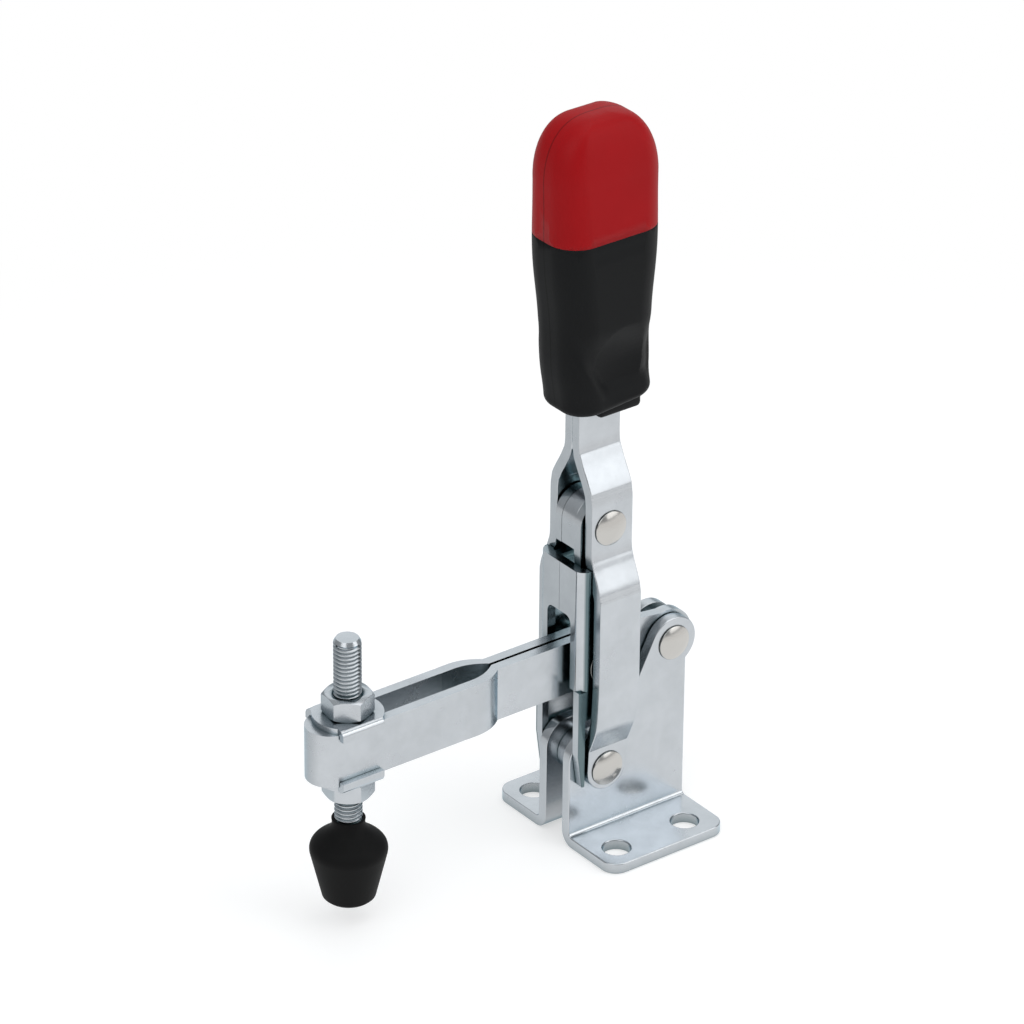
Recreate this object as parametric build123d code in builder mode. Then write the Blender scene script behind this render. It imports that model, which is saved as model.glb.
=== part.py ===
from build123d import *
import os
from math import atan2, cos, pi, radians, sin

os.makedirs("parts", exist_ok=True)

# Vertical toggle clamp with a horizontal foot, closed. Millimetres. +X points to the clamping pad, +Y to the
# left, +Z up. The origin is the centre of the four-hole pattern on the underside of the base.

# Shared sizes
PLATE = 3.3            # bracket and lever sheet
BEND = 1.4             # inside radius of the sheet bends
THREAD = 8.0           # spindle thread
PIN = 8.0              # shank of the three large rivets
ARM_PIN = 6.0          # shank of the rivet between link and arm
RUN = 0.05             # radial clearance of a turning fit
HEAD = 10.7            # rivet head diameter
DOME = 1.7             # rivet head height
RIM = 0.5              # straight side of a rivet head

# Pivots in the XZ plane
FRONT = (9.8, 25.0)    # lever on the base
REAR = (-17.2, 55.5)   # arm on the base
TOP = (8.9, 102.7)     # link on the lever
MID = (9.3, 58.8)      # link on the arm

# Base
FOOT_FRONT = 20.3
FOOT_REAR = -21.8
FOOT_HALF = 28.0
HOLE_X = 25.0
HOLE_Y = 39.5
HOLE_D = 8.2
BRACKET_IN = 3.75
BRACKET_OUT = BRACKET_IN + PLATE
BOSS_TOP = 35.5
BOSS_R = 8.0
LUG_R = 8.0

# Arm: a strip bent round the spindle
STRIP = 3.1
ARM_TOP = 65.7
ARM_BOTTOM = 49.1
ARM_GAP_FRONT = 8.2
ARM_GAP_REAR = 1.0
ARM_LOBE = 9.0
JOG_REAR = 43.9
JOG_FRONT = 57.6
SPINDLE_X = 93.1
NOSE_X = SPINDLE_X + 6.1

# Link
LINK = 2.9
LINK_IN = 7.2
LINK_OUT = LINK_IN + LINK
LINK_FRONT = 19.3
LINK_REAR = 2.6
LINK_TOP = 90.9
LINK_BOTTOM = 42.5
EAR_IN = 2.95
EAR_R = 7.6
WINDOW_TOP = 75.2
WINDOW_HALF = 5.4
FLANGE_END = 52.0
FINGER_END = 20.6

SLOT = 7.0             # rivet clearance in the arm

# Adjustable end
WASHER = 1.8
WASHER_R = 10.2
LIP_FRONT = 8.0
LIP_REAR = 6.0
LIP = 1.6
NUT_FLATS = 13.0
NUT_HEIGHT = 6.2
NUT_TURN = 23.0
NUT_CONE = 1.1
SPINDLE_TOP = 91.2
SPINDLE_CHAMFER = 0.9
PAD_BOTTOM = 7.0
PAD_SEAT = 16.0        # depth of rubber under the spindle
PAD_WIDEST = 14.8
PAD_SHOULDER = 18.6
PAD_THROAT = 22.0
PAD_HEIGHT = 26.2

# Lever
LEVER_MID = 8.25
LEVER_WIDTH = 14.5
LEVER_TOP = 205.0
LOBE_R = 6.8
Y_EAR = LINK_IN - 0.75
Y_WIDE = LINK_OUT + 1.0
Y_LOW = BRACKET_OUT + 0.85

# Grip
GRIP_BOTTOM = 139.6
GRIP_TILT = 5.0        # slope of the bottom, rising to the rear
GRIP_EDGE = 2.4
COLLAR_BOTTOM = 137.0
SPLIT_Z = 193.3
HOLLOW_R = 48.0        # thumb hollows in the two side faces
HOLLOW_DEPTH = 1.3
HOLLOW_X = 4.5
HOLLOW_Z = 155.0


def export(piece, name):
    piece.part.label = name
    export_step(piece.part, f"parts/{name}.step")


# Base brackets: a bent L plate, cut to a profile with a front boss and a rear lug
def bracket(side):
    rise, run = FRONT[0] - REAR[0], 13.6
    slope = atan2(run, rise)
    touch = (REAR[0] + LUG_R * cos(slope), REAR[1] + LUG_R * sin(slope))
    valley = touch[0] + (touch[1] - BOSS_TOP) * sin(slope) / cos(slope)
    leg_y = BRACKET_IN + PLATE / 2
    with BuildPart() as body:
        with BuildSketch(Plane.YZ):
            with BuildLine():
                FilletPolyline(
                    (side * FOOT_HALF, PLATE / 2),
                    (side * leg_y, PLATE / 2),
                    (side * leg_y, REAR[1] + LUG_R),
                    radius=BEND + PLATE / 2,
                )
            trace(line_width=PLATE)
        extrude(amount=40, both=True)
        with BuildSketch(Plane.XZ):
            with BuildLine():
                Polyline(
                    (FOOT_REAR, 0),
                    (FOOT_FRONT, 0),
                    (FOOT_FRONT, BOSS_TOP),
                    (valley, BOSS_TOP),
                    touch,
                    REAR,
                    (FOOT_REAR, REAR[1]),
                    close=True,
                )
            outline = make_face()
            boss = outline.vertices().sort_by(Axis.X)[-2:].sort_by(Axis.Y)[-1]
            fillet(boss, BOSS_R)
            with Locations(REAR):
                Circle(LUG_R)
        extrude(amount=FOOT_HALF + 1, both=True, mode=Mode.INTERSECT)
        corners = body.edges().filter_by(Axis.Z).filter_by(lambda e: abs(e.center().Y) > FOOT_HALF - 0.1)
        fillet(corners, 5)
        with BuildSketch(Plane.XY):
            with Locations((-HOLE_X / 2, side * HOLE_Y / 2), (HOLE_X / 2, side * HOLE_Y / 2)):
                Circle(HOLE_D / 2)
        extrude(amount=PLATE, mode=Mode.SUBTRACT)
        with BuildSketch(Plane.XZ):
            with Locations(FRONT, REAR):
                Circle(PIN / 2)
        extrude(amount=FOOT_HALF, both=True, mode=Mode.SUBTRACT)
    return body


for side, name in ((1, "base_bracket_left"), (-1, "base_bracket_right")):
    export(bracket(side), name)


# Round pieces that turn about an axis along Y are all made from one stepped section
def turned(center, steps, bore=0.0):
    with BuildPart() as body:
        for y0, y1, r in steps:
            with BuildSketch(Plane.XZ.offset(-y0)):
                with Locations(center):
                    Circle(r)
            extrude(amount=-(y1 - y0))
        if bore:
            with BuildSketch(Plane.XZ):
                with Locations(center):
                    Circle(bore)
            extrude(amount=FOOT_HALF, both=True, mode=Mode.SUBTRACT)
    return body


# A rivet: a shank with a low dome turned on each end
def rivet(center, half, shank, head, dome=DOME, rim=RIM):
    rise = dome - rim
    ball = (head ** 2 / 4 + rise ** 2) / (2 * rise)
    plane = Plane(origin=(center[0], 0, center[1]), x_dir=(1, 0, 0), z_dir=(0, 0, 1))
    with BuildPart() as body:
        with BuildSketch(plane):
            with BuildLine():
                Polyline((0, -half), (shank / 2, -half), (shank / 2, half), (0, half), close=True)
            make_face()
            for end in (-1, 1):
                with BuildLine():
                    Polyline((0, end * half), (head / 2, end * half), (head / 2, end * (half + rim)))
                    RadiusArc((head / 2, end * (half + rim)), (0, end * (half + dome)), -end * ball)
                    Line((0, end * (half + dome)), (0, end * half))
                make_face()
        revolve(axis=Axis((center[0], 0, center[1]), (0, 1, 0)))
    return body


export(rivet(FRONT, Y_LOW + PLATE, PIN, HEAD), "front_pivot_rivet")
export(rivet(REAR, BRACKET_OUT, PIN, HEAD), "rear_pivot_rivet")
export(rivet(TOP, Y_EAR + PLATE, PIN, HEAD), "handle_rivet")

bush_y = BRACKET_IN
export(turned(FRONT, [(-bush_y, -0.4, 6.6), (-0.4, bush_y, 5.0)], PIN / 2), "front_pivot_bush")
export(turned(REAR, [(-bush_y, ARM_GAP_REAR / 2 - RUN, 5.4)], PIN / 2), "rear_pivot_bush")
export(turned(FRONT, [(BRACKET_OUT, Y_LOW - RUN, 6.2)], PIN / 2), "front_washer_left")
export(turned(FRONT, [(RUN - Y_LOW, -BRACKET_OUT, 6.2)], PIN / 2), "front_washer_right")


# Lever strips: flat together in the grip, opened round the ears and again round the link, then drawn in
def lever(side):
    mid = PLATE / 2
    with BuildPart() as body:
        with BuildSketch(Plane.YZ):
            with BuildLine():
                FilletPolyline(
                    (side * mid, LEVER_TOP),
                    (side * mid, 124.8),
                    (side * (Y_EAR + mid), 113.6),
                    (side * (Y_EAR + mid), 93.0),
                    (side * (Y_WIDE + mid), 83.0),
                    (side * (Y_WIDE + mid), 41.2),
                    (side * (Y_LOW + mid), 32.6),
                    (side * (Y_LOW + mid), FRONT[1] - LOBE_R),
                    radius=BEND + mid,
                )
            trace(line_width=PLATE)
        extrude(amount=40, both=True)
        with BuildSketch(Plane.XZ):
            with Locations((LEVER_MID, 52)):
                Rectangle(LEVER_WIDTH, 2)
            with Locations(FRONT):
                Circle(LOBE_R)
            make_hull()
            with Locations((LEVER_MID, (LEVER_TOP + 52) / 2)):
                Rectangle(LEVER_WIDTH, LEVER_TOP - 52)
            with Locations(FRONT, TOP):
                Circle(PIN / 2 + RUN, mode=Mode.SUBTRACT)
        extrude(amount=40, both=True, mode=Mode.INTERSECT)
    return body


for side, name in ((1, "handle_plate_left"), (-1, "handle_plate_right")):
    export(lever(side), name)


# Grip: lofted through rounded sections, with a domed cap, an oblique bottom and a hollow in each side
SECTIONS = (
    (SPLIT_Z - 45, 22.6, -8.0, 11.2),
    (SPLIT_Z - 34, 23.5, -7.6, 11.4),
    (SPLIT_Z - 18, 24.8, -8.1, 11.5),
    (SPLIT_Z, 26.3, -9.2, 11.3),
    (SPLIT_Z + 18.7, 26.6, -9.4, 10.2),
    (SPLIT_Z + 27.7, 25.4, -8.6, 9.0),
    (SPLIT_Z + 33.2, 21.8, -5.6, 7.2),
    (SPLIT_Z + 36.3, 15.2, 0.6, 3.6),
)
CORE = (20.0, 12.0)    # the lower shot's core that fills the cap

with BuildPart() as grip:
    tilt = radians(GRIP_TILT)
    floor = Plane(
        origin=(6.95, 0, GRIP_BOTTOM + 0.9),
        x_dir=(cos(tilt), 0, -sin(tilt)),
        z_dir=(sin(tilt), 0, cos(tilt)),
    )
    with BuildSketch(floor):
        RectangleRounded(29.7, 21.8, 8.4)
    for z, front, rear, half in SECTIONS:
        with BuildSketch(Plane.XY.offset(z)):
            with Locations(((front + rear) / 2, 0)):
                RectangleRounded(front - rear, 2 * half, 0.78 * half)
    loft()
    fillet(grip.faces().sort_by(Axis.Z)[0].edges(), GRIP_EDGE)
    for side in (-1, 1):
        with Locations((HOLLOW_X, side * (11.4 - HOLLOW_DEPTH + HOLLOW_R), HOLLOW_Z)):
            Sphere(HOLLOW_R, mode=Mode.SUBTRACT)

with BuildPart() as grip_body:
    add(grip.part)
    split(bisect_by=Plane.XY.offset(SPLIT_Z), keep=Keep.BOTTOM)
    with BuildSketch(Plane.XY.offset(SPLIT_Z)):
        with Locations((LEVER_MID, 0)):
            RectangleRounded(CORE[0], CORE[1], 2)
    extrude(amount=LEVER_TOP - SPLIT_Z + 3)
    with BuildSketch(Plane.XZ):
        with BuildLine():
            Polyline(
                (LEVER_MID + 5, GRIP_BOTTOM + 2),
                (LEVER_MID - 10.3, GRIP_BOTTOM + 6),
                (LEVER_MID - 10.3, COLLAR_BOTTOM),
                close=True,
            )
        make_face()
    extrude(amount=5.6, both=True)
    with BuildSketch(Plane.XY.offset(COLLAR_BOTTOM - 2)):
        with Locations((LEVER_MID, 0)):
            Rectangle(LEVER_WIDTH, 2 * PLATE)
    extrude(amount=LEVER_TOP - COLLAR_BOTTOM + 2, mode=Mode.SUBTRACT)
export(grip_body, "grip_body")

with BuildPart() as grip_cap:
    add(grip.part)
    split(bisect_by=Plane.XY.offset(SPLIT_Z), keep=Keep.TOP)
    with BuildSketch(Plane.XY.offset(SPLIT_Z)):
        with Locations((LEVER_MID, 0)):
            RectangleRounded(CORE[0], CORE[1], 2)
    extrude(amount=LEVER_TOP - SPLIT_Z + 3, mode=Mode.SUBTRACT)
export(grip_cap, "grip_cap")


# Link halves: ears between the lever strips, side plates round the arm, flanges that meet in front,
# and a finger that stops on the lever's lower end
def link(side):
    mid = LINK / 2
    with BuildPart() as body:
        with BuildSketch(Plane.YZ):
            with BuildLine():
                FilletPolyline(
                    (side * (EAR_IN + mid), TOP[1] + EAR_R),
                    (side * (EAR_IN + mid), 90.0),
                    (side * (LINK_IN + mid), 82.6),
                    (side * (LINK_IN + mid), FINGER_END),
                    radius=BEND + mid,
                )
            trace(line_width=LINK)
        extrude(amount=40, both=True)
        with BuildSketch(Plane.XZ):
            with BuildLine():
                Polyline(
                    (LINK_REAR, LINK_BOTTOM),
                    (LINK_FRONT - 2.2, LINK_BOTTOM),
                    (LINK_FRONT - 2.2, FINGER_END),
                    (LINK_FRONT - 1.4, FINGER_END),
                    (LINK_FRONT, 31.0),
                    (LINK_FRONT, FLANGE_END),
                    (LINK_FRONT - LINK - 0.1, FLANGE_END),
                    (LINK_FRONT - LINK - 0.1, LINK_TOP),
                    (TOP[0] + EAR_R, LINK_TOP + 4),
                    (TOP[0] + EAR_R, TOP[1]),
                    (TOP[0] - EAR_R, TOP[1]),
                    (TOP[0] - EAR_R, 88.0),
                    (LINK_REAR, 84.0),
                    close=True,
                )
            make_face()
            with Locations(TOP):
                Circle(EAR_R)
                Circle(PIN / 2 + RUN, mode=Mode.SUBTRACT)
            with Locations(MID):
                Circle(ARM_PIN / 2, mode=Mode.SUBTRACT)
        extrude(amount=40, both=True, mode=Mode.INTERSECT)
        with BuildSketch(Plane.XY.offset(FLANGE_END)):
            with BuildLine():
                FilletPolyline(
                    (LINK_FRONT - LINK - 0.6, side * (LINK_IN + mid)),
                    (LINK_FRONT - mid, side * (LINK_IN + mid)),
                    (LINK_FRONT - mid, side * RUN),
                    radius=0.5 + mid,
                )
            trace(line_width=LINK)
        extrude(amount=LINK_TOP - FLANGE_END)
        with BuildSketch(Plane.YZ.offset(LINK_FRONT - LINK)):
            with Locations((0, (WINDOW_TOP + FLANGE_END) / 2 - 3)):
                RectangleRounded(2 * WINDOW_HALF, WINDOW_TOP - FLANGE_END + 6, 2.4)
        extrude(amount=LINK, mode=Mode.SUBTRACT)
        if side < 0:
            with BuildSketch(Plane.XZ):
                with Locations((TOP[0] + EAR_R - 1, TOP[1] - EAR_R - 2)):
                    Rectangle(6, 4)
            extrude(amount=FOOT_HALF, both=True, mode=Mode.SUBTRACT)
    return body


for side, name in ((1, "link_plate_left"), (-1, "link_plate_right")):
    export(link(side), name)

# Block between the ears, round at the top and square under the rivet
with BuildPart() as link_spacer:
    with BuildSketch(Plane.XZ):
        with Locations(TOP):
            Circle(EAR_R)
        with Locations((TOP[0], TOP[1] - EAR_R / 2)):
            Rectangle(2 * EAR_R, EAR_R)
        with Locations(TOP):
            Circle(PIN / 2 + RUN, mode=Mode.SUBTRACT)
    extrude(amount=EAR_IN, both=True)
export(link_spacer, "link_spacer")

# Pivot between link and arm, with a collar on each side of the arm
arm_side = ARM_GAP_REAR / 2 + STRIP
export(rivet(MID, LINK_OUT, ARM_PIN, 12.4, 0.7, 0.2), "arm_rivet")
export(turned(MID, [(arm_side + RUN, LINK_IN, 5.4)], ARM_PIN / 2), "arm_collar_left")
export(turned(MID, [(-LINK_IN, -arm_side - RUN, 5.4)], ARM_PIN / 2), "arm_collar_right")

# Arm: one strip runs forward, opens out round the spindle, turns at the nose and runs back. Its left leg
# reaches the rear lug; its right leg ends behind the link. A slot that opens downwards clears the rivet.
with BuildPart() as clamp_arm:
    narrow = (ARM_GAP_REAR + STRIP) / 2
    wide = (ARM_GAP_FRONT + STRIP) / 2
    with BuildSketch(Plane.XY.offset(ARM_BOTTOM - 4)):
        for side, rear in ((1, REAR[0] - ARM_LOBE), (-1, MID[0] - 8.5)):
            with BuildLine():
                FilletPolyline(
                    (rear, side * narrow),
                    (JOG_REAR, side * narrow),
                    (JOG_FRONT, side * wide),
                    (NOSE_X, side * wide),
                    radius=9,
                )
            trace(line_width=STRIP)
        with Locations((NOSE_X, 0)):
            Circle(wide + STRIP / 2)
            Circle(wide - STRIP / 2, mode=Mode.SUBTRACT)
        with Locations((NOSE_X - 10, 0)):
            Rectangle(20, ARM_GAP_FRONT, mode=Mode.SUBTRACT)
    extrude(amount=ARM_TOP - ARM_BOTTOM + 4)
    with BuildSketch(Plane.XZ):
        with BuildLine():
            Polyline(
                REAR,
                (REAR[0] + 2, ARM_TOP - 1.4),
                (REAR[0] + 14, ARM_TOP),
                (NOSE_X + 10, ARM_TOP),
                (NOSE_X + 10, ARM_BOTTOM),
                (REAR[0] + 14, ARM_BOTTOM),
                (REAR[0] + 2, REAR[1] - ARM_LOBE + 0.3),
                close=True,
            )
        make_face()
        with Locations(REAR):
            Circle(ARM_LOBE)
            Circle(PIN / 2 + RUN, mode=Mode.SUBTRACT)
    extrude(amount=FOOT_HALF, both=True, mode=Mode.INTERSECT)
    with BuildSketch(Plane.XZ):
        with Locations(
            (MID[0] - 0.2, MID[1] + 0.7),
            (MID[0] - 0.2, MID[1] - 5.5),
            (MID[0] + 1.6, MID[1] - 7.5),
            (MID[0] + 0.9, ARM_BOTTOM - 6),
        ):
            Circle(SLOT / 2)
        make_hull()
    extrude(amount=FOOT_HALF, both=True, mode=Mode.SUBTRACT)
export(clamp_arm, "clamp_arm")


# Flanged washer: a disc whose two sides are bent over the arm
def flanged_washer(face, way):
    outer = arm_front + 0.1 + WASHER
    with BuildPart() as body:
        with BuildSketch(Plane.YZ.offset(SPINDLE_X - LIP_REAR)):
            with BuildLine():
                FilletPolyline(
                    (-outer + WASHER / 2, face - way * LIP),
                    (-outer + WASHER / 2, face + way * WASHER / 2),
                    (outer - WASHER / 2, face + way * WASHER / 2),
                    (outer - WASHER / 2, face - way * LIP),
                    radius=WASHER / 2 + 0.15,
                )
            trace(line_width=WASHER)
        extrude(amount=LIP_REAR + LIP_FRONT)
        with BuildSketch(Plane.XY.offset(face)):
            with Locations((SPINDLE_X, 0)):
                Circle(WASHER_R)
                Rectangle(3 * WASHER_R, 2 * outer - 1.2 * WASHER, mode=Mode.INTERSECT)
        extrude(amount=way * WASHER)
        with BuildSketch(Plane.XY.offset(face - 5)):
            with Locations((SPINDLE_X, 0)):
                Circle(THREAD / 2)
        extrude(amount=10, mode=Mode.SUBTRACT)
    return body


arm_front = ARM_GAP_FRONT / 2 + STRIP
export(flanged_washer(ARM_TOP, 1), "flanged_washer_upper")
export(flanged_washer(ARM_BOTTOM, -1), "flanged_washer_lower")


# Hexagon nut: a prism with both ends turned to a cone
def lock_nut(bottom):
    corner = NUT_FLATS / 2 / cos(pi / 6)
    with BuildPart() as body:
        with BuildSketch(Plane.XY.offset(bottom)):
            with Locations((SPINDLE_X, 0)):
                RegularPolygon(NUT_FLATS / 2, 6, major_radius=False, rotation=NUT_TURN)
        extrude(amount=NUT_HEIGHT)
        with BuildSketch(Plane(origin=(SPINDLE_X, 0, bottom), x_dir=(1, 0, 0), z_dir=(0, -1, 0))):
            with BuildLine():
                Polyline(
                    (0, 0),
                    (corner - NUT_CONE, 0),
                    (corner, NUT_CONE * 0.6),
                    (corner, NUT_HEIGHT - NUT_CONE * 0.6),
                    (corner - NUT_CONE, NUT_HEIGHT),
                    (0, NUT_HEIGHT),
                    close=True,
                )
            make_face()
        revolve(axis=Axis((SPINDLE_X, 0, 0), (0, 0, 1)), mode=Mode.INTERSECT)
        with BuildSketch(Plane.XY.offset(bottom)):
            with Locations((SPINDLE_X, 0)):
                Circle(THREAD / 2)
        extrude(amount=NUT_HEIGHT, mode=Mode.SUBTRACT)
    return body


export(lock_nut(ARM_TOP + WASHER), "lock_nut_upper")
export(lock_nut(ARM_BOTTOM - WASHER - NUT_HEIGHT), "lock_nut_lower")

# Spindle
with BuildPart() as spindle:
    with BuildSketch(Plane.XY.offset(PAD_BOTTOM + PAD_SEAT)):
        with Locations((SPINDLE_X, 0)):
            Circle(THREAD / 2)
    extrude(amount=SPINDLE_TOP - PAD_BOTTOM - PAD_SEAT)
    chamfer(spindle.faces().sort_by(Axis.Z)[-1].edges(), SPINDLE_CHAMFER)
export(spindle, "spindle")

# Rubber pad with a neck that grips the spindle's end
neck_r = THREAD / 2 + 0.9
with BuildPart() as pad:
    with BuildSketch(Plane(origin=(SPINDLE_X, 0, PAD_BOTTOM), x_dir=(1, 0, 0), z_dir=(0, -1, 0))):
        with BuildLine():
            side = Polyline((0, 0), (6.6, 0), (7.7, 1.0), (11.0, PAD_WIDEST))
            Spline(side @ 1, (10.2, PAD_SHOULDER), (neck_r + 1.1, PAD_THROAT), (neck_r, PAD_HEIGHT))
            Polyline(
                (neck_r, PAD_HEIGHT),
                (THREAD / 2, PAD_HEIGHT),
                (THREAD / 2, PAD_SEAT),
                (0, PAD_SEAT),
                (0, 0),
            )
        make_face()
    revolve(axis=Axis((SPINDLE_X, 0, 0), (0, 0, 1)))
export(pad, "pad")
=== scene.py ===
from math import cos, hypot, pi, radians, sin

import bpy
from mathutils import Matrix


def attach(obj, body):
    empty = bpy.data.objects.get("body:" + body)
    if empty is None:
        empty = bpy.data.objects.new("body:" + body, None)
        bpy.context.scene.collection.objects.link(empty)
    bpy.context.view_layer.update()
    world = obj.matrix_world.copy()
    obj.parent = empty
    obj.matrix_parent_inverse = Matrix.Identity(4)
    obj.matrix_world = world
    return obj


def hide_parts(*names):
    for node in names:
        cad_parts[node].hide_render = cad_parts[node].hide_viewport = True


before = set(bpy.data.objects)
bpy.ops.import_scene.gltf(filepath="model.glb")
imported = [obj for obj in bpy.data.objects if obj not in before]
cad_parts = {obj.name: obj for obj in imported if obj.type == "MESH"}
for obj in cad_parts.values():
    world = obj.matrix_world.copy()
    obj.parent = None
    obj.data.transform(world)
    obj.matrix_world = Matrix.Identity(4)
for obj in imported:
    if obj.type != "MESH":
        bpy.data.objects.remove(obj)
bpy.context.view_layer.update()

# ---------------------------------------------------------------------------------------------------------
# The table the clamp stands on, the lamps and the camera. The pale top fades to plain white away from the
# clamp and keeps its soft shadow; the lamps are wide and even, as for a catalogue picture.
# ---------------------------------------------------------------------------------------------------------
scene = bpy.context.scene
scene.view_settings.view_transform = "Standard"

TOP_SIZE, TOP_DROP = 6.0, 0.0001

bpy.ops.mesh.primitive_plane_add(size=TOP_SIZE, location=(0, 0, -TOP_DROP))
table_top = bpy.context.object
table_top.name = "table_top"
bpy.ops.object.transform_apply(location=True, rotation=True, scale=True)


def wiring(tree):
    """Empty a node tree, and give short ways to add a node to it and to link two of its sockets."""
    tree.nodes.clear()

    def add(kind, **values):
        """A node with its settings; the socket From Min is written From_Min."""
        node = tree.nodes.new("ShaderNode" + kind)
        for key, value in values.items():
            if key in node.bl_rna.properties:
                setattr(node, key, value)
            else:
                node.inputs[key.replace("_", " ")].default_value = value
        return node

    def join(source, target):
        tree.links.new(source, target)

    return add, join


def new_material(name):
    """A material that holds only its output, and the short ways to add nodes and links to it."""
    material = bpy.data.materials.new(name)
    material.use_nodes = True
    add, join = wiring(material.node_tree)
    return material, add("OutputMaterial"), add, join


# To all other light the top is ordinary pale paint. The camera and the metal see part paint and part glow
# round the clamp, which keeps a light shadow, and plain white further out. Glossy rays see a dimmer glow
# on the clamp's own right-hand side, where Y is below zero: a painted darker reflection in the metal.
PAINT_GREY = 0.84
SEEN_GREY, SEEN_GLOW = 0.56, 0.565
SHADOW_MIDDLE, SHADOW_REACH = (0.035, 0, 0), (0.16, 0.42)
DIM_FROM, DIM_TO, DIM_SHARE = 0.02, -0.10, 0.42
DIM_COLOUR, DIM_STRENGTH = (0.93, 0.98, 1, 1), 0.42
WHITE = (1, 1, 1, 1)

table_paint, output, add, join = new_material("table_paint")
paint = add("BsdfDiffuse", Color=(PAINT_GREY, PAINT_GREY, PAINT_GREY, 1))
seen_paint = add("BsdfDiffuse", Color=(SEEN_GREY, SEEN_GREY, SEEN_GREY, 1))
seen_glow = add("Emission", Color=WHITE, Strength=SEEN_GLOW)
near = add("AddShader")
far = add("Emission", Color=WHITE, Strength=1.0)
place = add("TexCoord")
centred = add("VectorMath", operation="SUBTRACT")
centred.inputs[1].default_value = SHADOW_MIDDLE
away = add("VectorMath", operation="LENGTH")
fade = add("MapRange", interpolation_type="SMOOTHSTEP", From_Min=SHADOW_REACH[0], From_Max=SHADOW_REACH[1])
bright = add("MixShader")
axes = add("SeparateXYZ")
# Painted darker reflection: on the right-hand side, glossy rays see the dimmer glow below instead of the top
painted_reflection_share = add("MapRange", interpolation_type="SMOOTHSTEP", From_Min=DIM_FROM, From_Max=DIM_TO,
                 To_Max=DIM_SHARE)
dim = add("Emission", Color=DIM_COLOUR, Strength=DIM_STRENGTH)
rays = add("LightPath")
dimmed = add("Math", operation="MULTIPLY")
look = add("MixShader")
seen = add("Math", operation="MAXIMUM")
mixed = add("MixShader")
join(place.outputs["Object"], centred.inputs[0])
join(centred.outputs[0], away.inputs[0])
join(away.outputs["Value"], fade.inputs["Value"])
join(seen_paint.outputs[0], near.inputs[0])
join(seen_glow.outputs[0], near.inputs[1])
join(fade.outputs["Result"], bright.inputs[0])
join(near.outputs[0], bright.inputs[1])
join(far.outputs[0], bright.inputs[2])
join(place.outputs["Object"], axes.inputs[0])
join(axes.outputs["Y"], painted_reflection_share.inputs["Value"])
join(painted_reflection_share.outputs["Result"], dimmed.inputs[0])
join(rays.outputs["Is Glossy Ray"], dimmed.inputs[1])
join(dimmed.outputs[0], look.inputs[0])
join(bright.outputs[0], look.inputs[1])
join(dim.outputs[0], look.inputs[2])
join(rays.outputs["Is Camera Ray"], seen.inputs[0])
join(rays.outputs["Is Glossy Ray"], seen.inputs[1])
join(seen.outputs[0], mixed.inputs[0])
join(paint.outputs[0], mixed.inputs[1])
join(look.outputs[0], mixed.inputs[2])
join(mixed.outputs[0], output.inputs["Surface"])
table_top.data.materials.append(table_paint)

# The room: a plain sky that is brightest and coolest overhead
SKY_LOW, SKY_HIGH, SKY_STRENGTH = (0.62, 0.64, 0.66, 1), (0.92, 0.97, 1.0, 1), 0.55

world = bpy.data.worlds.new("studio")
scene.world = world
world.use_nodes = True
add, join = wiring(world.node_tree)
output = add("OutputWorld")
sky = add("Background", Strength=SKY_STRENGTH)
place = add("TexCoord")
axes = add("SeparateXYZ")
height_tint = add("ValToRGB")
lowest, highest = height_tint.color_ramp.elements
lowest.color, highest.color = SKY_LOW, SKY_HIGH
join(place.outputs["Generated"], axes.inputs[0])
join(axes.outputs["Z"], height_tint.inputs["Fac"])
join(height_tint.outputs["Color"], sky.inputs["Color"])
join(sky.outputs[0], output.inputs["Surface"])

# Each lamp's name, place, two sides and power; all face the middle of the clamp, this high above the table
AIM_HEIGHT = 0.09
LAMPS = (
    ("lamp_left", (0.95, 0.35, 0.95), (0.9, 0.9), 3.4),
    ("lamp_low_left", (-0.76, 1.14, 0.42), (0.95, 0.55), 2.05),
    ("lamp_high_left", (-0.78, 1.02, 0.93), (0.95, 0.42), 2.6),
    ("lamp_back", (-0.75, -0.95, 0.75), (1.2, 0.8), 1.9),
    ("lamp_top", (-0.30, 0.20, 1.5), (1.5, 1.2), 6.5),
)
for name, spot, sides, power in LAMPS:
    lamp = bpy.data.lights.new(name, "AREA")
    lamp.shape = "RECTANGLE"
    lamp.size, lamp.size_y = sides
    lamp.energy = power
    holder = bpy.data.objects.new(name, lamp)
    scene.collection.objects.link(holder)
    holder.visible_camera = False
    holder.location = spot
    aim = holder.location.copy()
    aim.z -= AIM_HEIGHT
    holder.rotation_euler = aim.to_track_quat("Z", "Y").to_euler()

camera_data = bpy.data.cameras.new("camera")
camera_data.sensor_width = 36.0
camera_data.lens = 205.5
camera = bpy.data.objects.new("camera", camera_data)
scene.collection.objects.link(camera)
camera.location = (0.90420, 1.14194, 0.89378)
camera.rotation_euler = (radians(61.4158), radians(-0.4405), radians(143.0069))
scene.camera = camera

# ---------------------------------------------------------------------------------------------------------
# Base brackets: two plates of 3.3 mm steel, pressed to an L and zinc plated. Every plate of the clamp comes
# from the press with its corners slightly rolled.
# ---------------------------------------------------------------------------------------------------------
ZINC, ZINC_MIRROR = (0.535, 0.558, 0.582), (0.80, 0.93, 1.0, 1)
ALONG_GRAIN, ACROSS_GRAIN, GRAIN_BUMP = 60, 900, 0.02
# The colour of the shade painted where metal closes a plate in, and the blends of the shade painted on the
# link's front edge
GAP_SHADE_COLOUR = (0.09, 0.145, 0.155, 1)
SIDE_BLEND, EDGE_BLEND, EDGE_LIGHT = 0.0004, 0.0020, 0.12


def tinted(colour, share):
    """A metal's colour made lighter or darker by one share, for a colour socket."""
    return tuple(min(channel * share, 1) for channel in colour) + (1,)


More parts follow.
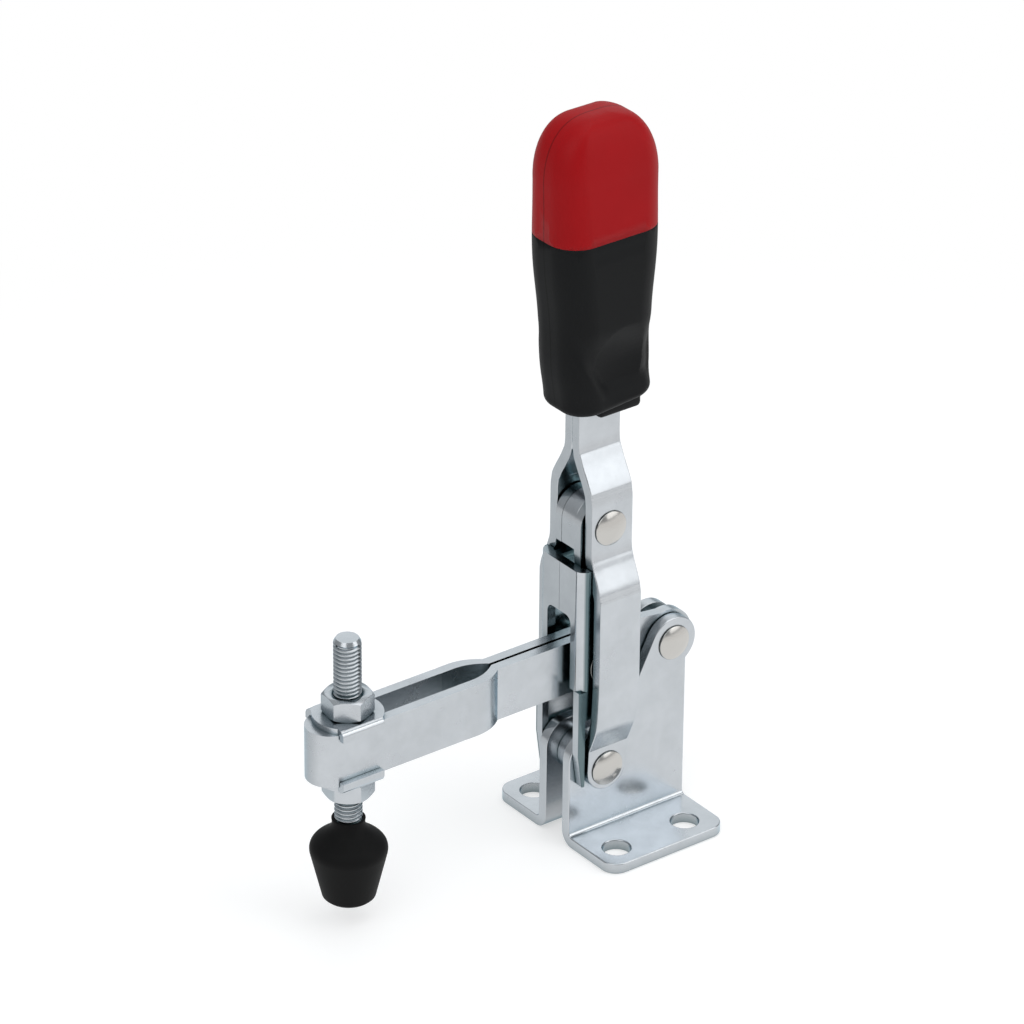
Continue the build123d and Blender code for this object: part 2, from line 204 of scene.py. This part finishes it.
def zinc_plate(name, rough, grain_axis, gap_reach=0.007, closed=0.10, open_at=0.80, side_y=1.0, edge_x=1.0):
    """Bright zinc plate over rolled steel: a patchy, finely clouded finish with faint rolling lines.

    It is painted darker and greener, as shade, where other metal within gap_reach closes it in. closed and
    open_at are the shares of free view at which that painted shade is complete and at which it starts.
    Outside side_y and ahead of edge_x the plate is painted dark, as shade, whatever its view.
    """
    material, output, add, join = new_material(name)
    metal = add("BsdfPrincipled", Metallic=1.0, Specular_Tint=ZINC_MIRROR)
    place = add("TexCoord")
    along = add("Mapping", Scale=[ALONG_GRAIN if axis == grain_axis else ACROSS_GRAIN for axis in "XYZ"])
    lines = add("TexNoise", Scale=1.0, Detail=4.0, Roughness=0.6)
    cloud = add("TexNoise", Scale=110.0, Detail=5.0, Roughness=0.62)
    speck = add("TexNoise", Scale=1600.0, Detail=2.0, Roughness=0.5)
    patch = add("TexNoise", Scale=95.0, Detail=6.0, Roughness=0.68)
    tone = add("MapRange", From_Min=0.3, From_Max=0.7)
    colour = add("MixRGB", Color1=tinted(ZINC, 0.93), Color2=tinted(ZINC, 1.05))
    gloss = add("MapRange", From_Min=0.25, From_Max=0.75, To_Min=rough - 0.06, To_Max=rough + 0.10)
    dents = add("Math", operation="MULTIPLY_ADD")
    dents.inputs[1].default_value = 0.35
    bump = add("Bump", Strength=GRAIN_BUMP, Distance=0.0002)
    join(place.outputs["Object"], along.inputs["Vector"])
    join(along.outputs["Vector"], lines.inputs["Vector"])
    for noise in (cloud, speck, patch):
        join(place.outputs["Object"], noise.inputs["Vector"])
    join(patch.outputs["Fac"], tone.inputs["Value"])
    join(tone.outputs["Result"], colour.inputs["Fac"])
    join(cloud.outputs["Fac"], gloss.inputs["Value"])
    join(gloss.outputs["Result"], metal.inputs["Roughness"])
    join(lines.outputs["Fac"], dents.inputs[0])
    join(speck.outputs["Fac"], dents.inputs[2])
    join(dents.outputs[0], bump.inputs["Height"])
    join(bump.outputs["Normal"], metal.inputs["Normal"])

    # Painted shade: where ambient occlusion finds metal close by, and outside side_y ahead of edge_x, the
    # colour goes over to the dark shade colour
    view = add("AmbientOcclusion", samples=8, Distance=gap_reach)
    free = add("MapRange", interpolation_type="SMOOTHSTEP", From_Min=closed, From_Max=open_at)
    axes = add("SeparateXYZ")
    outward = add("Math", operation="ABSOLUTE")
    inside_side = add("MapRange", From_Min=side_y + SIDE_BLEND, From_Max=side_y)
    behind_edge = add("MapRange", From_Min=edge_x - EDGE_BLEND, From_Max=edge_x, To_Min=1.0,
                      To_Max=EDGE_LIGHT)
    off_edge = add("Math", operation="MAXIMUM")
    clear = add("Math", operation="MULTIPLY")
    shaded = add("MixRGB", Color1=GAP_SHADE_COLOUR)
    join(view.outputs["AO"], free.inputs["Value"])
    join(place.outputs["Object"], axes.inputs[0])
    join(axes.outputs["Y"], outward.inputs[0])
    join(outward.outputs[0], inside_side.inputs["Value"])
    join(axes.outputs["X"], behind_edge.inputs["Value"])
    join(inside_side.outputs["Result"], off_edge.inputs[0])
    join(behind_edge.outputs["Result"], off_edge.inputs[1])
    join(free.outputs["Result"], clear.inputs[0])
    join(off_edge.outputs[0], clear.inputs[1])
    join(clear.outputs[0], shaded.inputs["Fac"])
    join(colour.outputs["Color"], shaded.inputs["Color2"])
    join(shaded.outputs["Color"], metal.inputs["Base Color"])
    join(metal.outputs[0], output.inputs["Surface"])
    return material


zinc_upright = zinc_plate("zinc_upright", 0.20, "Z")
zinc_along = zinc_plate("zinc_along", 0.22, "X", gap_reach=0.010, closed=0.15, open_at=0.82)

# What is rounded off a plate's edges and a bracket's, how near two points are welded, and the angles, in
# degrees, under which faces are made one and over which an edge is rounded
ROLLED, BRACKET_ROLLED, WELD = 0.00032, 0.0004, 0.000004
FLAT_UNDER, ROUND_OVER = 0.8, 32


def pick(*pieces):
    """Select these pieces and nothing else, and make the first the active one."""
    bpy.ops.object.select_all(action="DESELECT")
    for piece in pieces:
        piece.select_set(True)
    bpy.context.view_layer.objects.active = pieces[0]


def finish_with(piece, kind, **values):
    """Give a piece a modifier with these settings, and apply it."""
    pick(piece)
    step = piece.modifiers.new(kind.lower(), kind)
    for key, value in values.items():
        setattr(step, key, value)
    bpy.ops.object.modifier_apply(modifier=step.name)


def eased_copy(node, body, material, width=ROLLED):
    """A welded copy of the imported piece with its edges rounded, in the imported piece's place."""
    piece = bpy.data.objects.new(node + "_finished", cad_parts[node].data.copy())
    scene.collection.objects.link(piece)
    pick(piece)
    bpy.ops.mesh.customdata_custom_splitnormals_clear()
    bpy.ops.object.mode_set(mode="EDIT")
    bpy.ops.mesh.select_all(action="SELECT")
    bpy.ops.mesh.remove_doubles(threshold=WELD)
    bpy.ops.mesh.dissolve_limited(angle_limit=radians(FLAT_UNDER))
    bpy.ops.object.mode_set(mode="OBJECT")
    bpy.ops.object.shade_smooth()
    if width:
        finish_with(piece, "BEVEL", width=width, segments=3, limit_method="ANGLE",
                    angle_limit=radians(ROUND_OVER), harden_normals=True)
    piece.data.materials.clear()
    piece.data.materials.append(material)
    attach(piece, body)
    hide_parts(node)
    return piece


for side in ("left", "right"):
    eased_copy("base_bracket_" + side, "base", zinc_upright, BRACKET_ROLLED)

# ---------------------------------------------------------------------------------------------------------
# Rivets, bushes and washers. The rivets are turned from stainless steel and headed over with low polished
# domes; the bushes, washers, collars and spacer between the plates are zinc plated.
# ---------------------------------------------------------------------------------------------------------
# The rivet heads get painted shade: dark grey where ambient occlusion finds the plate within RIM_REACH
STAINLESS, RIM_SHADE_COLOUR, RIM_REACH = (0.54, 0.525, 0.50), (0.12, 0.13, 0.13, 1), 0.0012
RIVET_ROLLED, BUSH_ROLLED = 0.00022, 0.0002

stainless, output, add, join = new_material("stainless")
metal = add("BsdfPrincipled", Metallic=1.0)
place = add("TexCoord")
tone = add("TexNoise", Scale=260.0, Detail=3.0)
colour = add("MixRGB", Color1=tinted(STAINLESS, 0.95), Color2=tinted(STAINLESS, 1.04))
gloss = add("MapRange", To_Min=0.12, To_Max=0.24)
fine = add("TexNoise", Scale=2600.0, Detail=2.0)
bump = add("Bump", Strength=0.03, Distance=0.0001)
# Painted shade round the rim of each head
view = add("AmbientOcclusion", samples=6, Distance=RIM_REACH)
free = add("MapRange", From_Min=0.45, From_Max=0.85)
rim_shaded = add("MixRGB", Color1=RIM_SHADE_COLOUR)
for noise in (tone, fine):
    join(place.outputs["Object"], noise.inputs["Vector"])
join(tone.outputs["Fac"], colour.inputs["Fac"])
join(tone.outputs["Fac"], gloss.inputs["Value"])
join(view.outputs["AO"], free.inputs["Value"])
join(free.outputs["Result"], rim_shaded.inputs["Fac"])
join(colour.outputs["Color"], rim_shaded.inputs["Color2"])
join(rim_shaded.outputs["Color"], metal.inputs["Base Color"])
join(gloss.outputs["Result"], metal.inputs["Roughness"])
join(fine.outputs["Fac"], bump.inputs["Height"])
join(bump.outputs["Normal"], metal.inputs["Normal"])
join(metal.outputs[0], output.inputs["Surface"])

for node, body in (("front_pivot_rivet", "base"), ("rear_pivot_rivet", "base"), ("handle_rivet", "handle"),
                   ("arm_rivet", "link")):
    eased_copy(node, body, stainless, RIVET_ROLLED)
for node, body in (("front_pivot_bush", "base"), ("rear_pivot_bush", "base"), ("front_washer_left", "base"),
                   ("front_washer_right", "base"), ("arm_collar_left", "link"), ("arm_collar_right", "link"),
                   ("link_spacer", "link")):
    eased_copy(node, body, zinc_upright, BUSH_ROLLED)

# ---------------------------------------------------------------------------------------------------------
# Lever strips: two zinc plated strips of 3.3 mm steel, blanked and bent apart below the grip. Their bends are
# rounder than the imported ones: each ring of points is set at the mean of those within BEND_REACH of it.
# ---------------------------------------------------------------------------------------------------------
CUT_WITHIN, ON_RING, CREASE = 0.000001, 0.00001, 30
BENT_LENGTHS = ((0.0340, 0.0530), (0.0800, 0.1370))
BEND_REACH, RING = 0.0032, 0.0004


def evenly(first, step, count):
    """A row of levels, one step apart."""
    return [first + step * number for number in range(count)]


def cut_rings(piece, axis, levels):
    """Cut a mesh across at each level along an axis, so that it can be shaped there."""
    pick(piece)
    bpy.ops.object.mode_set(mode="EDIT")
    for level in levels:
        bpy.ops.mesh.select_all(action="SELECT")
        bpy.ops.mesh.bisect(plane_co=[level * part for part in axis], plane_no=axis, threshold=CUT_WITHIN)
    bpy.ops.mesh.select_all(action="DESELECT")
    bpy.ops.object.mode_set(mode="OBJECT")


def outwards(distance, y):
    """A distance away from the clamp's middle plane, as a move in Y on the side where y is."""
    return distance if y > 0 else -distance


def shade_creased(piece, degrees):
    """Shade a piece smooth, with a crisp edge wherever two faces meet at more than this angle."""
    pick(piece)
    bpy.ops.object.shade_smooth()
    finish_with(piece, "EDGE_SPLIT", split_angle=radians(degrees))


for side in ("left", "right"):
    strip = eased_copy("handle_plate_" + side, "handle", zinc_upright)
    for low, high in BENT_LENGTHS:
        count = int((high - low) / RING)
        levels = evenly(low, RING, count + 1)
        cut_rings(strip, (0, 0, 1), levels)
        middles = []
        for level in levels:
            ring = [abs(v.co.y) for v in strip.data.vertices if abs(v.co.z - level) < ON_RING]
            middles.append((min(ring) + max(ring)) / 2)
        shifts = []
        for step, middle in enumerate(middles):
            span = min(int(BEND_REACH / RING), step, count - step)
            around = middles[step - span:step + span + 1]
            shifts.append(sum(around) / len(around) - middle)
        for vertex in strip.data.vertices:
            rings_up = (vertex.co.z - low) / RING
            if 0 < rings_up < count:
                index = int(rings_up)
                shift = shifts[index] + (shifts[index + 1] - shifts[index]) * (rings_up - index)
                vertex.co.y += outwards(shift, vertex.co.y)
    shade_creased(strip, CREASE)

# ---------------------------------------------------------------------------------------------------------
# Link halves: 2.9 mm steel, bent to a box with ears at its top and zinc plated. Their front corners are
# pressed tighter than the imported bends, and the sides of their front edge get painted shade beside the
# lever.
# ---------------------------------------------------------------------------------------------------------
FRONT_X, SIDE_Y = 0.0193, 0.0101
PACKED_R, PRESSED_R, LINK_ROLLED = 0.0043, 0.0013, 0.00025
ON_BEND, OFF_END = 0.0003, 0.00002

# Painted shade: the outer sides of the front edge, beyond side_y and ahead of edge_x, are painted dark
zinc_link = zinc_plate("zinc_link", 0.20, "Z", gap_reach=0.013, closed=0.40, open_at=0.97,
                       side_y=0.0095, edge_x=0.0150)
for side in ("left", "right"):
    half = eased_copy("link_plate_" + side, "link", zinc_link, LINK_ROLLED)
    for vertex in half.data.vertices:
        x = vertex.co.x - (FRONT_X - PACKED_R)
        y = abs(vertex.co.y) - (SIDE_Y - PACKED_R)
        if min(x, y) > OFF_END and abs(hypot(x, y) - PACKED_R) < ON_BEND:
            # The point moves out to a square corner, and back in to the tighter bend
            spread = PACKED_R / max(x, y)
            square_x, square_y = x * spread, y * spread
            past_x = max(square_x - (PACKED_R - PRESSED_R), 0)
            past_y = max(square_y - (PACKED_R - PRESSED_R), 0)
            past = hypot(past_x, past_y)
            back = 1 - min(1, PRESSED_R / past) if past else 0
            vertex.co.x += square_x - past_x * back - x
            vertex.co.y += outwards(square_y - past_y * back - y, vertex.co.y)

# ---------------------------------------------------------------------------------------------------------
# Arm and flanged washers: a 3.1 mm strip bent round at the nose into two legs, zinc plated. The legs part in
# a long curve that ends in a tight crease at the rear, and the washers sit over and under them at the nose.
# ---------------------------------------------------------------------------------------------------------
LEGS_REAR, LEGS_FRONT, LEGS_HALF = 0.0420, 0.0595, 0.012
JOG_REAR, JOG_FRONT = 0.0439, 0.0576
LEG_NARROW, LEG_WIDE, CURVE_FRONT, CURVE_R = 0.00205, 0.00565, 0.0533, 0.0145
LEG_CUTS = (0.0424, 0.00045, 37)
WASHER_ROLLED = 0.0003

arm = eased_copy("clamp_arm", "arm", zinc_along)
cut_rings(arm, (1, 0, 0), evenly(*LEG_CUTS))
for vertex in arm.data.vertices:
    x = vertex.co.x
    if LEGS_REAR < x < LEGS_FRONT and abs(vertex.co.y) < LEGS_HALF:
        straight = min(max((x - JOG_REAR) / (JOG_FRONT - JOG_REAR), 0), 1)
        packed_y = LEG_NARROW + (LEG_WIDE - LEG_NARROW) * straight
        run = min(max(CURVE_FRONT - x, 0), 0.999 * CURVE_R)
        curved_y = max(LEG_NARROW, LEG_WIDE - CURVE_R + (CURVE_R ** 2 - run ** 2) ** 0.5)
        vertex.co.y += outwards(curved_y - packed_y, vertex.co.y)
shade_creased(arm, CREASE)
for side in ("upper", "lower"):
    eased_copy("flanged_washer_" + side, "arm", zinc_along, WASHER_ROLLED)

# ---------------------------------------------------------------------------------------------------------
# Spindle and lock nuts: an M8 x 1.25 stud with a rolled thread and a chamfered tip, and two chamfered nuts
# countersunk round it. All are zinc plated.
# ---------------------------------------------------------------------------------------------------------
SPINDLE_X = 0.0931
SPINDLE_FOOT, SPINDLE_HEAD, END_CHAMFER = 0.0230, 0.0912, 0.0009
THREAD_R, THREAD_DEPTH, PITCH, THREAD_STEPS, THREAD_CREASE = 0.0040, 0.00072, 0.00125, 40, 38
CORE_R, CORE_FILL = THREAD_R - THREAD_DEPTH, 0.00005
TIP_R, TIP_EDGE_R = THREAD_R - 0.0001, THREAD_R - 0.0002
SEED, TURN_MERGE = 0.002, 0.000003


def turned(name, points, turns=1, lead=0.0, steps=32, centre=(0, 0, 0)):
    """A shape of revolution, or a screw thread where lead isn't zero, from a profile of (radius, height)."""
    bpy.ops.mesh.primitive_plane_add(size=SEED, location=(0, 0, 0))
    piece = bpy.context.object
    piece.name = name
    bpy.ops.object.mode_set(mode="EDIT")
    bpy.ops.mesh.select_all(action="SELECT")
    bpy.ops.mesh.merge(type="CENTER")
    bpy.ops.transform.translate(value=(points[0][0], 0, points[0][1]))
    for (r0, z0), (r1, z1) in zip(points, points[1:]):
        bpy.ops.mesh.extrude_region_move(TRANSFORM_OT_translate={"value": (r1 - r0, 0, z1 - z0)})
    bpy.ops.object.mode_set(mode="OBJECT")
    finish_with(piece, "SCREW", steps=steps, render_steps=steps, iterations=turns, screw_offset=lead,
                use_merge_vertices=True, merge_threshold=TURN_MERGE)
    bpy.ops.object.mode_set(mode="EDIT")
    bpy.ops.mesh.select_all(action="SELECT")
    bpy.ops.transform.translate(value=centre)
    bpy.ops.mesh.remove_doubles(threshold=WELD)
    bpy.ops.mesh.normals_make_consistent(inside=False)
    bpy.ops.mesh.select_all(action="DESELECT")
    bpy.ops.object.mode_set(mode="OBJECT")
    return piece


turns = int((SPINDLE_HEAD - SPINDLE_FOOT - END_CHAMFER) / PITCH) - 1
thread = turned(
    "thread",
    ((CORE_R, 0), (CORE_R, 0.12 * PITCH), (THREAD_R, 0.5 * PITCH), (THREAD_R, 0.62 * PITCH), (CORE_R, PITCH)),
    turns, PITCH, THREAD_STEPS,
    (SPINDLE_X, 0, SPINDLE_HEAD - END_CHAMFER - (turns + 1) * PITCH),
)
stud_core = turned(
    "stud_core",
    ((0, SPINDLE_FOOT), (CORE_R + CORE_FILL, SPINDLE_FOOT),
     (CORE_R + CORE_FILL, SPINDLE_HEAD - 2 * END_CHAMFER), (TIP_R, SPINDLE_HEAD - 1.2 * END_CHAMFER),
     (TIP_EDGE_R, SPINDLE_HEAD - END_CHAMFER), (CORE_R, SPINDLE_HEAD), (0, SPINDLE_HEAD)),
    centre=(SPINDLE_X, 0, 0),
)
pick(thread, stud_core)
bpy.ops.object.join()
thread.name = "spindle_threaded"
shade_creased(thread, THREAD_CREASE)
thread.data.materials.append(zinc_upright)
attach(thread, "arm")
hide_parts("spindle")

# Each countersink is cut by a cone: its small end lies inside the nut and its wide end clears the face
NUT_ROLLED = 0.00022
SINK_SMALL_R, SINK_WIDE_R = THREAD_R - 0.0005, THREAD_R + 0.0006
SINK_DEPTH, SINK_PROUD, SINK_END = 0.0011, 0.0001, 0.0006
for side in ("upper", "lower"):
    nut = eased_copy("lock_nut_" + side, "arm", zinc_along, NUT_ROLLED)
    heights = [vertex.co.z for vertex in nut.data.vertices]
    for face, out in ((min(heights), -1), (max(heights), 1)):
        cone = ((0, face - out * SINK_DEPTH), (SINK_SMALL_R, face - out * SINK_DEPTH),
                (SINK_WIDE_R, face + out * SINK_PROUD), (SINK_WIDE_R, face + out * SINK_END),
                (0, face + out * SINK_END))
        sink = turned("sink", cone[::out], centre=(SPINDLE_X, 0, 0))
        finish_with(nut, "BOOLEAN", operation="DIFFERENCE", object=sink)
        bpy.data.objects.remove(sink)

# ---------------------------------------------------------------------------------------------------------
# Grip: two shots of plastic moulded over the lever strips, a black body with a scoop for the thumb and a
# collar below it, and a red cap. The mould leaves a fine line along the middle.
# ---------------------------------------------------------------------------------------------------------
PLASTIC_SPECULAR, GRAIN_HEIGHT = 0.12, 0.12
MOULD_LINE, MOULD_LINE_EDGE = 0.00008, 0.00032


def moulded(name, colour_a, colour_b, rough, seam=0.0):
    """Moulded plastic or rubber with a fine eroded surface, and a mould line where seam isn't zero."""
    material, output, add, join = new_material(name)
    skin = add("BsdfPrincipled", Specular_IOR_Level=PLASTIC_SPECULAR)
    place = add("TexCoord")
    grainy = add("TexNoise", Scale=2200.0, Detail=3.0)
    cloud = add("TexNoise", Scale=70.0, Detail=3.0)
    colour = add("MixRGB", Color1=colour_a + (1,), Color2=colour_b + (1,))
    gloss = add("MapRange", To_Min=rough - 0.05, To_Max=rough + 0.08)
    bump = add("Bump", Strength=GRAIN_HEIGHT, Distance=0.0002)
    axes = add("SeparateXYZ")
    off_middle = add("Math", operation="ABSOLUTE")
    line = add("MapRange", interpolation_type="SMOOTHSTEP", From_Min=MOULD_LINE, From_Max=MOULD_LINE_EDGE,
               To_Min=1.0 - seam)
    lined = add("MixRGB", blend_type="MULTIPLY", Fac=1.0)
    for noise in (grainy, cloud):
        join(place.outputs["Object"], noise.inputs["Vector"])
    join(cloud.outputs["Fac"], colour.inputs["Fac"])
    join(cloud.outputs["Fac"], gloss.inputs["Value"])
    join(place.outputs["Object"], axes.inputs[0])
    join(axes.outputs["Y"], off_middle.inputs[0])
    join(off_middle.outputs[0], line.inputs["Value"])
    join(colour.outputs["Color"], lined.inputs["Color1"])
    join(line.outputs["Result"], lined.inputs["Color2"])
    join(lined.outputs["Color"], skin.inputs["Base Color"])
    join(gloss.outputs["Result"], skin.inputs["Roughness"])
    join(grainy.outputs["Fac"], bump.inputs["Height"])
    join(bump.outputs["Normal"], skin.inputs["Normal"])
    join(skin.outputs[0], output.inputs["Surface"])
    return material


black_plastic = moulded("black_plastic", (0.0055, 0.006, 0.0065), (0.009, 0.0095, 0.010), 0.5, seam=0.8)
red_plastic = moulded("red_plastic", (0.35, 0.004, 0.006), (0.41, 0.005, 0.008), 0.45, seam=0.5)

# The scoop lies low on each side face. Its front wall slants down and forward, and it runs out to the rear
# edge. Each slope is given by where it starts and ends: in height, back from the wall, or out from the
# middle. The body is cut into a grid first: the first level, the step and the count.
SCOOP_DEPTH, SCOOP_TOP = 0.0028, 0.172
FLOOR_SLOPE, ROOF_SLOPE = (0.1425, 0.1490), (0.1530, 0.1670)
WALL_SLOPE, FACE_SLOPE = (0, 0.0055), (0.004, 0.009)
WALL_X, WALL_Z, WALL_LEAN = 0.0205, 0.1560, 0.57
CUTS_UP, CUTS_ALONG = (0.1410, 0.0011, 26), (-0.0070, 0.0012, 25)


def ramp(value, low, high):
    """Smooth step from 0 at low to 1 at high."""
    share = min(max((value - low) / (high - low), 0), 1)
    return share * share * (3 - 2 * share)


grip = eased_copy("grip_body", "handle", black_plastic, 0.0)
cut_rings(grip, (0, 0, 1), evenly(*CUTS_UP))
cut_rings(grip, (1, 0, 0), evenly(*CUTS_ALONG))
for vertex in grip.data.vertices:
    x, y, z = vertex.co
    if FLOOR_SLOPE[0] < z < SCOOP_TOP and abs(y) > FACE_SLOPE[0]:
        from_wall = (WALL_X - x) + WALL_LEAN * (z - WALL_Z)
        depth = (SCOOP_DEPTH * ramp(from_wall, *WALL_SLOPE) * ramp(z, *FLOOR_SLOPE)
                 * (1 - ramp(z, *ROOF_SLOPE)) * ramp(abs(y), *FACE_SLOPE))
        vertex.co.y -= outwards(depth, y)

COLLAR_SIZE, COLLAR_MIDDLE, COLLAR_ROUND = (0.0150, 0.0150, 0.0062), (0.0040, 0, 0.1397), 0.0016
bpy.ops.mesh.primitive_cube_add(size=1, location=(0, 0, 0))
collar = bpy.context.object
bpy.ops.object.mode_set(mode="EDIT")
bpy.ops.mesh.select_all(action="SELECT")
bpy.ops.transform.resize(value=COLLAR_SIZE)
bpy.ops.transform.translate(value=COLLAR_MIDDLE)
bpy.ops.mesh.bevel(offset=COLLAR_ROUND, segments=4, affect="EDGES")
bpy.ops.mesh.select_all(action="DESELECT")
bpy.ops.object.mode_set(mode="OBJECT")
bpy.ops.object.shade_smooth()
collar.data.materials.append(black_plastic)
pick(grip, collar)
bpy.ops.object.join()

# The cap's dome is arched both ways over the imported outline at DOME_START. A point keeps its share of the
# way across its own ring, and TOP_TURN is how much of the quarter turn the arch runs through.
DOME_START, DOME_END, DOME_RISE, DOME_RINGS = 0.2094, 0.2296, 0.0191, 24
ARCH_X, ARCH_Y, LEAN, TOP_TURN = 0.69, 0.53, 0.00095, 0.97
ON_DOME_RING = 0.00002

cap = eased_copy("grip_cap", "handle", red_plastic, 0.0)
levels = [DOME_START + (DOME_END - DOME_START) * step / DOME_RINGS for step in range(DOME_RINGS)]
cut_rings(cap, (0, 0, 1), levels)
outlines = []
for level in levels + [DOME_END]:
    ring = [vertex.co.copy() for vertex in cap.data.vertices if abs(vertex.co.z - level) < ON_DOME_RING]
    outlines.append((max(c.x for c in ring), min(c.x for c in ring), max(c.y for c in ring)))
mouth_front, mouth_rear, mouth_half = outlines[0]
for vertex in cap.data.vertices:
    share = (vertex.co.z - DOME_START) / (DOME_END - DOME_START)
    if share > 0:
        index = min(int(share * DOME_RINGS), DOME_RINGS - 1)
        part = min(share * DOME_RINGS - index, 1)
        front, rear, half = (a + (b - a) * part for a, b in zip(outlines[index], outlines[index + 1]))
        across_x = min(max((vertex.co.x - (front + rear) / 2) / ((front - rear) / 2), -1), 1)
        across_y = min(max(vertex.co.y / half, -1), 1)
        turn = share * TOP_TURN * pi / 2
        reach_x = (mouth_front - mouth_rear) / 2 * cos(turn) ** ARCH_X
        vertex.co.x = (mouth_front + mouth_rear) / 2 + LEAN * sin(turn) + across_x * reach_x
        vertex.co.y = across_y * mouth_half * cos(turn) ** ARCH_Y
        vertex.co.z = DOME_START + DOME_RISE * sin(turn)

# ---------------------------------------------------------------------------------------------------------
# Rubber pad: a tapered foot of black rubber with rounded shoulders and a short neck, moulded over the
# spindle's lower end.
# ---------------------------------------------------------------------------------------------------------
PAD_ROUND = 0.0002
rubber = moulded("rubber", (0.004, 0.004, 0.004), (0.007, 0.007, 0.007), 0.6)
eased_copy("pad", "arm", rubber, PAD_ROUND)
